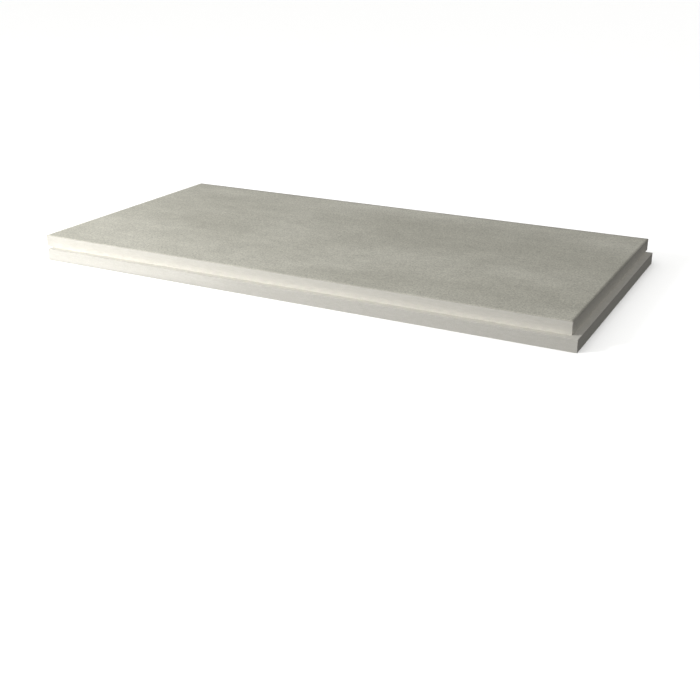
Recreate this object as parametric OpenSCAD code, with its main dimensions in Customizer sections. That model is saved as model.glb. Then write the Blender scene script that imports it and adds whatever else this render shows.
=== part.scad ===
// Rigid polyiso insulation board with stepped edges, lying flat.
// One slab of closed-cell foam is foamed between two mineral-coated glass-fleece facers, cut to
// size and then milled along all four edges, so that each board laps half-way over the next.
// The origin is the centre of the underside of the envelope, with +X along the length, +Z up.

/* [Board] */
// Length of the board over both stepped ends
board_length = 1200; // [600:10:2500]
// Width of the board over both stepped sides
board_width = 600; // [400:10:1200]
// Thickness of the board over both facers
board_thickness = 50; // [30:5:160]

/* [Facers] */
// Thickness of the fleece on the upper face
top_facer_thickness = 0.6; // [0.3:0.1:1.5]
// Thickness of the fleece on the underside
bottom_facer_thickness = 0.6; // [0.3:0.1:1.5]

/* [Stepped edges] */
// How far the lip reaches past the step on the two short ends
end_lap = 15; // [8:1:40]
// How far the lip reaches past the step on the two long sides
side_lap = 15; // [8:1:40]
// Clearance left between the lips of two boards laid edge to edge
lap_play = 0.5; // [0.2:0.1:2]

/* [Hidden] */

// Extra reach of each milling cut past the board
cut_overrun = 5;
core_thickness = board_thickness - top_facer_thickness - bottom_facer_thickness;
top_facer_height = board_thickness - top_facer_thickness;
// A lip is half of the board less half of the clearance
lip_thickness = (board_thickness - lap_play) / 2;
rebate_depth = board_thickness - lip_thickness;
foam_colour = "#f4f1e4";
facer_colour = "#b9b6a7";

// One full-size layer of the board as it leaves the saw, from a height up
module sawn_layer(base_height, thickness)
    translate([-board_length / 2, -board_width / 2, base_height])
        cube([board_length, board_width, thickness]);

// Step cut along one short end: the sign says which end, the height where the cutter starts
module end_rebate(end_sign, base_height)
    translate([
        end_sign > 0 ? board_length / 2 - end_lap : -board_length / 2 - cut_overrun,
        -board_width / 2 - cut_overrun,
        base_height
    ])
        cube([
            end_lap + cut_overrun,
            board_width + 2 * cut_overrun,
            rebate_depth + cut_overrun
        ]);

// Step cut along one long side, in the same way
module side_rebate(side_sign, base_height)
    translate([
        -board_length / 2 - cut_overrun,
        side_sign > 0 ? board_width / 2 - side_lap : -board_width / 2 - cut_overrun,
        base_height
    ])
        cube([
            board_length + 2 * cut_overrun,
            side_lap + cut_overrun,
            rebate_depth + cut_overrun
        ]);

// The right end and front side are cut from above, which leaves their lower lip standing out.
// The left end and back side are cut from below, which leaves their upper lip standing out.
module milled() {
    difference() {
        children();
        end_rebate(1, lip_thickness);
        side_rebate(-1, lip_thickness);
        end_rebate(-1, -cut_overrun);
        side_rebate(1, -cut_overrun);
    }
}

// Slab of cream closed-cell polyisocyanurate foam
module foam_core()
    color(foam_colour)
        milled()
            sawn_layer(bottom_facer_thickness, core_thickness);

// Grey-beige fleece bonded to the upper face, trimmed by the same cuts
module top_facer()
    color(facer_colour)
        milled()
            sawn_layer(top_facer_height, top_facer_thickness);

// The same fleece on the underside
module bottom_facer()
    color(facer_colour)
        milled()
            sawn_layer(0, bottom_facer_thickness);

foam_core();
top_facer();
bottom_facer();
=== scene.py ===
"""Rigid polyiso insulation board: cream foam between two glass fleeces, with stepped edges.

The board lies flat on a pale studio floor and is seen from its front right corner.
Everything is in metres, in the frame of the solids: +X along the board, +Y across it, +Z up.
"""

import math

import bmesh
import bpy
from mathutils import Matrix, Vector, noise


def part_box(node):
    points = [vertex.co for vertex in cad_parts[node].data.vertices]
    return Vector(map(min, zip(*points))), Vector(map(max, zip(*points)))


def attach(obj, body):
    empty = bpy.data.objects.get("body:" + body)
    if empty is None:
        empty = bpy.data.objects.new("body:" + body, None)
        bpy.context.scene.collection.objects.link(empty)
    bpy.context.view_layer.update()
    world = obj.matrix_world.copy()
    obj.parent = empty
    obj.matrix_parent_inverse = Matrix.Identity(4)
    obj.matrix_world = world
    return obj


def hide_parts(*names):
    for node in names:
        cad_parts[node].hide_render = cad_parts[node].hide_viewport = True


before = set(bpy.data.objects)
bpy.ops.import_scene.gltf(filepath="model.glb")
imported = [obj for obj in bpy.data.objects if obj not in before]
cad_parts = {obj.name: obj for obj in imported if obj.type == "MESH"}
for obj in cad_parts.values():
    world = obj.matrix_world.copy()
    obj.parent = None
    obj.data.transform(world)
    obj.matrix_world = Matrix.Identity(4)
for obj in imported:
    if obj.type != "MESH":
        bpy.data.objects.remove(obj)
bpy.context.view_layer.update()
scene = bpy.context.scene


# Camera
# The place, direction and lens of the camera were solved from the edges of the board in the
# photograph, so that the board lies in the frame as it does there.
CAMERA_PLACE = Vector((0.9926, -1.8879, 0.6479))
CAMERA_LOOKS = Vector((-0.4290, 0.8221, -0.3744))
SENSOR_WIDTH = 36.0
FOCAL_LENGTH = 51.83
VIEW_REACH = 100.0

camera = bpy.data.objects.new("camera", bpy.data.cameras.new("camera"))
camera.data.sensor_width = SENSOR_WIDTH
camera.data.lens = FOCAL_LENGTH
camera.data.clip_end = VIEW_REACH
camera.location = CAMERA_PLACE
camera.rotation_mode = "QUATERNION"
camera.rotation_quaternion = CAMERA_LOOKS.to_track_quat("-Z", "Y")
scene.collection.objects.link(camera)
scene.camera = camera


# Studio floor and backdrop
# A wide matt sheet of pale paper that the board lies on, and a pale dome far behind it. Neither
# throws light back, so that the shaded steps of the board stay as deep as they look.
FLOOR_REACH = 60.0
FLOOR_TONE = "#f6f6f5"
DOME_RADIUS = 45.0
DOME_SEGMENTS = 48
DOME_RINGS = 24
DOME_TONE = "#fbfbfa"


def linear(hex_colour):
    """An sRGB hex colour as linear red, green and blue, by the standard curve, and full alpha."""
    parts = [int(hex_colour[i:i + 2], 16) / 255 for i in (1, 3, 5)]
    return [p / 12.92 if p <= 0.04045 else ((p + 0.055) / 1.055) ** 2.4 for p in parts] + [1.0]


def add_node(tree, kind, settings=None, inputs=None, links=None):
    """One shader node: its settings, the values of its sockets, and what feeds them."""
    made = tree.nodes.new(kind)
    for name, value in (settings or {}).items():
        setattr(made, name, value)
    for name, value in (inputs or {}).items():
        made.inputs[name].default_value = value
    for name, source in (links or {}).items():
        tree.links.new(source, made.inputs[name])
    return made


def new_material(name):
    """A material without any nodes yet, and its node tree."""
    material = bpy.data.materials.new(name)
    material.use_nodes = True
    material.node_tree.nodes.clear()
    return material, material.node_tree


def mesh_object(name, bm):
    """A finished bmesh as an object at the origin, its place held by its mesh."""
    mesh = bpy.data.meshes.new(name)
    bm.to_mesh(mesh)
    bm.free()
    made = bpy.data.objects.new(name, mesh)
    scene.collection.objects.link(made)
    return made


# Matt paper, which shows as an even pale ground
paper, tree = new_material("matt_backdrop_paper")
surface = add_node(tree, "ShaderNodeBsdfDiffuse", inputs={"Color": linear(FLOOR_TONE)})
add_node(tree, "ShaderNodeOutputMaterial", links={"Surface": surface.outputs["BSDF"]})

bm = bmesh.new()
bmesh.ops.create_grid(bm, x_segments=1, y_segments=1, size=FLOOR_REACH)
floor = mesh_object("studio_floor", bm)
floor.data.materials.append(paper)

# Evenly lit backdrop, nearly white like the floor that it meets
glow, tree = new_material("pale_backdrop_glow")
surface = add_node(tree, "ShaderNodeEmission", inputs={"Color": linear(DOME_TONE)})
add_node(tree, "ShaderNodeOutputMaterial", links={"Surface": surface.outputs["Emission"]})

bm = bmesh.new()
bmesh.ops.create_uvsphere(
    bm, u_segments=DOME_SEGMENTS, v_segments=DOME_RINGS, radius=DOME_RADIUS,
)
bmesh.ops.reverse_faces(bm, faces=bm.faces[:])
dome = mesh_object("studio_dome", bm)
dome.data.materials.append(glow)
dome.visible_shadow = False

for stage_piece in (floor, dome):
    stage_piece.visible_diffuse = False
    stage_piece.visible_glossy = False


# Studio light
# One soft round lamp stands in front of the left end of the board, and its light falls off along
# the length. A weak sky and a lamp overhead fill the shade, and the floor has its own lamp.
KEY_PLACE = Vector((-1.516, -1.823, 1.067))
KEY_RADIUS = 0.30
KEY_POWER = 220.0
SKY_STRENGTH = 0.28
GROUND_STRENGTH = 0.03
HORIZON_BLUR = 0.05
OVERHEAD_STRENGTH = 0.19
OVERHEAD_SPREAD = math.radians(10)
FLOOR_LAMP_STRENGTH = 2.3
FLOOR_LAMP_SPREAD = math.radians(120)
LAMP_HEIGHT = 3.0
CARD_PLACE = Vector((-0.52, -0.323, 0.001))
CARD_LENGTH = 0.85
CARD_WIDTH = 0.04
CARD_POWER = 0.043


def add_lamp(name, kind, power):
    """A lamp above the origin that shines down and isn't seen itself."""
    made = bpy.data.objects.new(name, bpy.data.lights.new(name, kind))
    made.location = (0, 0, LAMP_HEIGHT)
    made.data.energy = power
    made.visible_camera = False
    scene.collection.objects.link(made)
    return made


key = add_lamp("key_lamp", "POINT", KEY_POWER)
key.location = KEY_PLACE
key.data.shadow_soft_size = KEY_RADIUS

overhead = add_lamp("overhead_lamp", "SUN", OVERHEAD_STRENGTH)
overhead.data.angle = OVERHEAD_SPREAD

# A narrow white card on the floor throws light up at the lower half of the front, on the left
card = add_lamp("reflector_card", "AREA", CARD_POWER)
card.location = CARD_PLACE
card.rotation_euler = (math.pi, 0, 0)
card.data.shape = "ELLIPSE"
card.data.size = CARD_LENGTH
card.data.size_y = CARD_WIDTH

lit_by_floor_lamp = bpy.data.collections.new("lit_by_floor_lamp")
lit_by_floor_lamp.objects.link(floor)
floor_lamp = add_lamp("floor_lamp", "SUN", FLOOR_LAMP_STRENGTH)
floor_lamp.data.angle = FLOOR_LAMP_SPREAD
floor_lamp.light_linking.receiver_collection = lit_by_floor_lamp

# The sky is light above the horizon and nearly dark below it
world = bpy.data.worlds.new("studio_sky")
scene.world = world
world.use_nodes = True
tree = world.node_tree
tree.nodes.clear()
direction = add_node(tree, "ShaderNodeTexCoord").outputs["Generated"]
height = add_node(tree, "ShaderNodeSeparateXYZ", links={"Vector": direction})
above = add_node(
    tree, "ShaderNodeMapRange",
    inputs={
        "From Min": -HORIZON_BLUR, "From Max": HORIZON_BLUR,
        "To Min": GROUND_STRENGTH, "To Max": SKY_STRENGTH,
    },
    links={"Value": height.outputs["Z"]},
)
sky = add_node(
    tree, "ShaderNodeBackground",
    inputs={"Color": (1, 1, 1, 1)}, links={"Strength": above.outputs["Result"]},
)
add_node(tree, "ShaderNodeOutputWorld", links={"Surface": sky.outputs["Background"]})
scene.view_settings.view_transform = "Standard"


# Foam slab
# The body of the board is one slab of closed-cell polyisocyanurate foam, foamed between the two
# facers, sawn to size and milled to half its thickness along all four edges. The left and back
# sides keep their upper lip and the right and front sides their lower one.
MM = 0.001
FOAM_EDGE_ROUND = 0.5 * MM
FOAM_EDGE_STEPS = 2
FOAM_LIGHT = "#eeebe2"
FOAM_DARK = "#e7e4da"
FOAM_CELL = 1.1 * MM
FOAM_PIT = 0.3 * MM
FOAM_STREAK = 14.0 * MM
# How many times longer than high the streaks are
FOAM_STREAK_FLATNESS = 4.0
FOAM_GRAIN_DEPTH = 0.10
# Painted shade: the foam faces that look up, the ledges in the steps, are drawn this much darker
LEDGE_PAINTED_SHADE = 0.88
# The upright part of a face's direction at which the painted ledge shade begins, and at which it is
# full
LEDGE_BEGINS = 0.5
LEDGE_FULL = 0.9
# The part of the range of a noise that the shades and grains are spread over
NOISE_LOW = 0.3
NOISE_HIGH = 0.7
CELL_LOW = 0.25
CELL_HIGH = 0.75
# Heights are told apart to a micrometre, and points closer than a hundredth of a millimetre are one
HEIGHT_DECIMALS = 6
SAME_PLACE = 1e-5
CUT_TOLERANCE = 1e-7
# A wall faces a direction when the cosine of the angle between them is above this
FACING = 0.9
SHARP_FROM = math.radians(30)
FLAT_UP_TO = math.radians(1)

foam_low, foam_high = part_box("foam_core")
top_low, top_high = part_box("top_facer")
bottom_low, bottom_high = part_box("bottom_facer")
# Each lip is as wide as the facers fall short of the foam
front_lap = top_low.y - foam_low.y
right_lap = foam_high.x - top_high.x
back_lap = foam_high.y - bottom_high.y
left_lap = bottom_low.x - foam_low.x
solid_heights = sorted(
    {round(v.co.z, HEIGHT_DECIMALS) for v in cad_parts["foam_core"].data.vertices}
)
lower_lip_top, upper_lip_foot = solid_heights[1], solid_heights[-2]


def box_of(bm, low, high):
    """A closed box between two corners, added to a bmesh."""
    made = bmesh.ops.create_cube(bm, size=1)
    for v in made["verts"]:
        v.co = [low[i] + (v.co[i] + 0.5) * (high[i] - low[i]) for i in range(3)]


def push_out(bm, direction, reach, low, high):
    """Pushes out the wall that faces a direction, between two heights, to leave a lip."""
    walls = [
        f for f in bm.faces
        if f.normal.dot(direction) > FACING and low < f.calc_center_median().z < high
    ]
    # The end of a lip that is already there lies in the same wall
    wall = bmesh.utils.face_join(walls) if len(walls) > 1 else walls[0]
    # Of the ways to extrude, this one makes its sides in the same order at every run
    pushed = bmesh.ops.extrude_discrete_faces(bm, faces=[wall])["faces"]
    bmesh.ops.translate(bm, vec=direction * reach, verts=pushed[0].verts[:])
    bm.normal_update()


def round_sharp_edges(bm, radius, steps, wanted):
    """Bevels the outer corners that a test picks out."""
    sharp = [
        e for e in bm.edges
        if len(e.link_faces) == 2 and e.is_convex
        and e.calc_face_angle() > SHARP_FROM and wanted(e)
    ]
    bmesh.ops.bevel(
        bm, geom=sharp, offset=radius, segments=steps, profile=0.5,
        affect="EDGES", material=-1, clamp_overlap=True,
    )


def under_no_facer(edge):
    """True for an edge of bare foam, which has no fleece bonded along it."""
    heights = [v.co.z for v in edge.verts]
    return max(heights) - min(heights) > SAME_PLACE or (
        foam_low.z + SAME_PLACE < heights[0] < foam_high.z - SAME_PLACE
    )


bm = bmesh.new()
box_of(
    bm,
    (foam_low.x + left_lap, foam_low.y + front_lap, foam_low.z),
    (foam_high.x - right_lap, foam_high.y - back_lap, foam_high.z),
)
for cut_height in (lower_lip_top, upper_lip_foot):
    bmesh.ops.bisect_plane(
        bm, geom=bm.verts[:] + bm.edges[:] + bm.faces[:],
        plane_co=(0, 0, cut_height), plane_no=(0, 0, 1), dist=CUT_TOLERANCE,
    )
bm.normal_update()
push_out(bm, Vector((0, -1, 0)), front_lap, foam_low.z, lower_lip_top)
push_out(bm, Vector((1, 0, 0)), right_lap, foam_low.z, lower_lip_top)
push_out(bm, Vector((0, 1, 0)), back_lap, upper_lip_foot, foam_high.z)
push_out(bm, Vector((-1, 0, 0)), left_lap, upper_lip_foot, foam_high.z)
bmesh.ops.dissolve_limit(bm, angle_limit=FLAT_UP_TO, verts=bm.verts[:], edges=bm.edges[:])
bmesh.ops.recalc_face_normals(bm, faces=bm.faces[:])
round_sharp_edges(bm, FOAM_EDGE_ROUND, FOAM_EDGE_STEPS, under_no_facer)
foam = mesh_object("milled_foam_slab", bm)

# Polyisocyanurate foam, cut open by a milling head: cream, chalky and matt, faintly streaked where
# it rose. Its cells are under half a millimetre, and they are drawn twice as coarse, to show.
cream_foam, tree = new_material("milled_polyisocyanurate_foam")
coordinates = add_node(tree, "ShaderNodeTexCoord")
place = coordinates.outputs["Object"]
rise = add_node(
    tree, "ShaderNodeMapping",
    inputs={"Scale": (1.0, 1.0, FOAM_STREAK_FLATNESS)}, links={"Vector": place},
)
streaks = add_node(
    tree, "ShaderNodeTexNoise",
    inputs={"Scale": 1 / FOAM_STREAK, "Detail": 4.0, "Roughness": 0.55},
    links={"Vector": rise.outputs["Vector"]},
)
shades = add_node(tree, "ShaderNodeValToRGB", links={"Fac": streaks.outputs["Fac"]})
shades.color_ramp.elements[0].position = NOISE_LOW
shades.color_ramp.elements[0].color = linear(FOAM_DARK)
shades.color_ramp.elements[1].position = NOISE_HIGH
shades.color_ramp.elements[1].color = linear(FOAM_LIGHT)
cells = add_node(
    tree, "ShaderNodeTexNoise",
    inputs={"Scale": 1 / FOAM_CELL, "Detail": 2.0, "Roughness": 0.6}, links={"Vector": place},
)
pitting = add_node(
    tree, "ShaderNodeMapRange",
    inputs={
        "From Min": CELL_LOW, "From Max": CELL_HIGH,
        "To Min": 1 - FOAM_GRAIN_DEPTH, "To Max": 1 + FOAM_GRAIN_DEPTH / 2,
    },
    links={"Value": cells.outputs["Fac"]},
)
pitted = add_node(
    tree, "ShaderNodeVectorMath", settings={"operation": "SCALE"},
    links={"Vector": shades.outputs["Color"], "Scale": pitting.outputs["Result"]},
)
# Painted shade: the ledges, the foam faces that look up, are drawn a little darker than the walls,
# as shade in the steps
facing = add_node(
    tree, "ShaderNodeSeparateXYZ", links={"Vector": coordinates.outputs["Normal"]},
)
level = add_node(
    tree, "ShaderNodeMath", settings={"operation": "ABSOLUTE"},
    links={"Value": facing.outputs["Z"]},
)
painted_ledge_shade = add_node(
    tree, "ShaderNodeMapRange",
    inputs={
        "From Min": LEDGE_BEGINS, "From Max": LEDGE_FULL,
        "To Min": 1.0, "To Max": LEDGE_PAINTED_SHADE,
    },
    links={"Value": level.outputs["Value"]},
)
ledge_shaded = add_node(
    tree, "ShaderNodeVectorMath", settings={"operation": "SCALE"},
    links={"Vector": pitted.outputs["Vector"], "Scale": painted_ledge_shade.outputs["Result"]},
)
tooth = add_node(
    tree, "ShaderNodeBump",
    inputs={"Strength": 0.35, "Distance": FOAM_PIT}, links={"Height": cells.outputs["Fac"]},
)
surface = add_node(
    tree, "ShaderNodeBsdfPrincipled",
    inputs={"Roughness": 0.95, "IOR": 1.45, "Specular IOR Level": 0.2},
    links={"Base Color": ledge_shaded.outputs["Vector"], "Normal": tooth.outputs["Normal"]},
)
add_node(tree, "ShaderNodeOutputMaterial", links={"Surface": surface.outputs["BSDF"]})
foam.data.materials.append(cream_foam)

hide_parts("foam_core")
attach(foam, "root")


# Upper and lower facer
# Each face of the board is a mineral-coated glass fleece that the foam stuck to as it rose. It is a
# stiff mat of fine glass threads, and it was trimmed flush by the cuts that milled the edges.
FLEECE_GRID = 6.0 * MM
FLEECE_RIPPLE = 0.06 * MM
FLEECE_RIPPLE_LENGTH = 60.0 * MM
FLEECE_RIPPLE_GAIN = 1.6
# A face of the mesh is shaded smooth when this much of its direction is upright
SMOOTH_FROM = 0.5
FLEECE_LIGHT = "#d7d5c8"
FLEECE_DARK = "#c5c3b6"
# Length, width and depth of the clouds and blotches, where the coating is thicker or thinner
FLEECE_CLOUD = Vector((304.0, 152.0, 95.0)) * MM
FLEECE_BLOTCH = Vector((62.0, 34.0, 34.0)) * MM
FLEECE_BLOTCH_DEPTH = 0.10
# Which part of the endless clouds the board shows, in lengths and widths of a cloud
FLEECE_DRIFT = (68.27, 14.88, 0.0)
FLEECE_GRAIN = 3.0 * MM
FLEECE_GRAIN_DEPTH = 0.42
FLEECE_TOOTH = 0.8 * MM
FIBRE_LENGTH = 14.0 * MM
FIBRE_WIDTH = 1.2 * MM
FIBRE_DEPTH = 0.035
# The ways that the threads lie, in degrees from the length of the board
FIBRE_TURNS = (14, 71, 128)


def fleece_sheet(name, low, high, outward):
    """A fleece between two corners, whose outer side (+1 up, -1 down) ripples inwards."""
    bm = bmesh.new()
    box_of(bm, low, high)
    for axis in (0, 1):
        along = [
            e for e in bm.edges
            if abs((e.verts[0].co - e.verts[1].co)[axis]) > SAME_PLACE
        ]
        bmesh.ops.subdivide_edges(
            bm, edges=along, cuts=round((high[axis] - low[axis]) / FLEECE_GRID),
            use_grid_fill=True,
        )
    outer = high.z if outward > 0 else low.z
    for v in bm.verts:
        if abs(v.co.z - outer) > SAME_PLACE:
            continue
        wave = noise.noise(Vector((v.co.x, v.co.y, outward)) / FLEECE_RIPPLE_LENGTH)
        swell = max(-1.0, min(1.0, wave * FLEECE_RIPPLE_GAIN))
        v.co.z -= outward * FLEECE_RIPPLE * (1 + swell) / 2
    bmesh.ops.recalc_face_normals(bm, faces=bm.faces[:])
    for f in bm.faces:
        f.smooth = abs(f.normal.z) > SMOOTH_FROM
    return mesh_object(name, bm)


# Mineral-coated glass fleece: a grey-beige, cloudy, matt mat with a sandy grain and a faint tangle
# of glass threads. Both are finer than a tenth of a millimetre, and are drawn coarser, to show.
fleece, tree = new_material("mineral_coated_glass_fleece")
place = add_node(tree, "ShaderNodeTexCoord").outputs["Object"]
drift = add_node(
    tree, "ShaderNodeMapping",
    inputs={"Location": FLEECE_DRIFT, "Scale": [1 / size for size in FLEECE_CLOUD]},
    links={"Vector": place},
)
clouds = add_node(
    tree, "ShaderNodeTexNoise",
    inputs={"Scale": 1.0, "Detail": 4.0, "Roughness": 0.34},
    links={"Vector": drift.outputs["Vector"]},
)
shades = add_node(tree, "ShaderNodeValToRGB", links={"Fac": clouds.outputs["Fac"]})
shades.color_ramp.elements[0].position = NOISE_LOW
shades.color_ramp.elements[0].color = linear(FLEECE_DARK)
shades.color_ramp.elements[1].position = NOISE_HIGH
shades.color_ramp.elements[1].color = linear(FLEECE_LIGHT)
grain = add_node(
    tree, "ShaderNodeTexNoise",
    inputs={"Scale": 1 / FLEECE_GRAIN, "Detail": 2.0, "Roughness": 0.6},
    links={"Vector": place},
)
relief = add_node(
    tree, "ShaderNodeMapRange",
    inputs={
        "From Min": NOISE_LOW, "From Max": NOISE_HIGH,
        "To Min": 1 - FLEECE_GRAIN_DEPTH / 2, "To Max": 1 + FLEECE_GRAIN_DEPTH / 2,
    },
    links={"Value": grain.outputs["Fac"]},
).outputs["Result"]
pressed = add_node(
    tree, "ShaderNodeMapping",
    inputs={"Scale": [1 / size for size in FLEECE_BLOTCH]}, links={"Vector": place},
)
blotches = add_node(
    tree, "ShaderNodeTexNoise",
    inputs={"Scale": 1.0, "Detail": 2.0, "Roughness": 0.5},
    links={"Vector": pressed.outputs["Vector"]},
)
mottle = add_node(
    tree, "ShaderNodeMapRange",
    inputs={
        "From Min": NOISE_LOW, "From Max": NOISE_HIGH,
        "To Min": -FLEECE_BLOTCH_DEPTH / 2, "To Max": FLEECE_BLOTCH_DEPTH / 2,
    },
    links={"Value": blotches.outputs["Fac"]},
)
relief = add_node(
    tree, "ShaderNodeMath", settings={"operation": "ADD"},
    links={0: relief, 1: mottle.outputs["Result"]},
).outputs["Value"]
for turn in FIBRE_TURNS:
    laid = add_node(
        tree, "ShaderNodeMapping",
        settings={"vector_type": "TEXTURE"},
        inputs={
            "Location": (turn * MM, 0, 0),
            "Rotation": (0, 0, math.radians(turn)),
            "Scale": (FIBRE_LENGTH, FIBRE_WIDTH, FIBRE_WIDTH),
        },
        links={"Vector": place},
    )
    threads = add_node(
        tree, "ShaderNodeTexNoise",
        inputs={"Scale": 1.0, "Detail": 1.0, "Roughness": 0.5},
        links={"Vector": laid.outputs["Vector"]},
    )
    strands = add_node(
        tree, "ShaderNodeMapRange",
        inputs={
            "From Min": NOISE_LOW, "From Max": NOISE_HIGH,
            "To Min": -FIBRE_DEPTH / 2, "To Max": FIBRE_DEPTH / 2,
        },
        links={"Value": threads.outputs["Fac"]},
    )
    relief = add_node(
        tree, "ShaderNodeMath", settings={"operation": "ADD"},
        links={0: relief, 1: strands.outputs["Result"]},
    ).outputs["Value"]
speckled = add_node(
    tree, "ShaderNodeVectorMath", settings={"operation": "SCALE"},
    links={"Vector": shades.outputs["Color"], "Scale": relief},
)
tooth = add_node(
    tree, "ShaderNodeBump",
    inputs={"Strength": 0.5, "Distance": FLEECE_TOOTH}, links={"Height": relief},
)
surface = add_node(
    tree, "ShaderNodeBsdfPrincipled",
    inputs={"Roughness": 0.9, "IOR": 1.45, "Specular IOR Level": 0.25},
    links={"Base Color": speckled.outputs["Vector"], "Normal": tooth.outputs["Normal"]},
)
add_node(tree, "ShaderNodeOutputMaterial", links={"Surface": surface.outputs["BSDF"]})

for name, node, low, high, outward in (
    ("upper_fleece", "top_facer", top_low, top_high, 1),
    ("lower_fleece", "bottom_facer", bottom_low, bottom_high, -1),
):
    sheet = fleece_sheet(name, low, high, outward)
    sheet.data.materials.append(fleece)
    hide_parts(node)
    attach(sheet, "root")
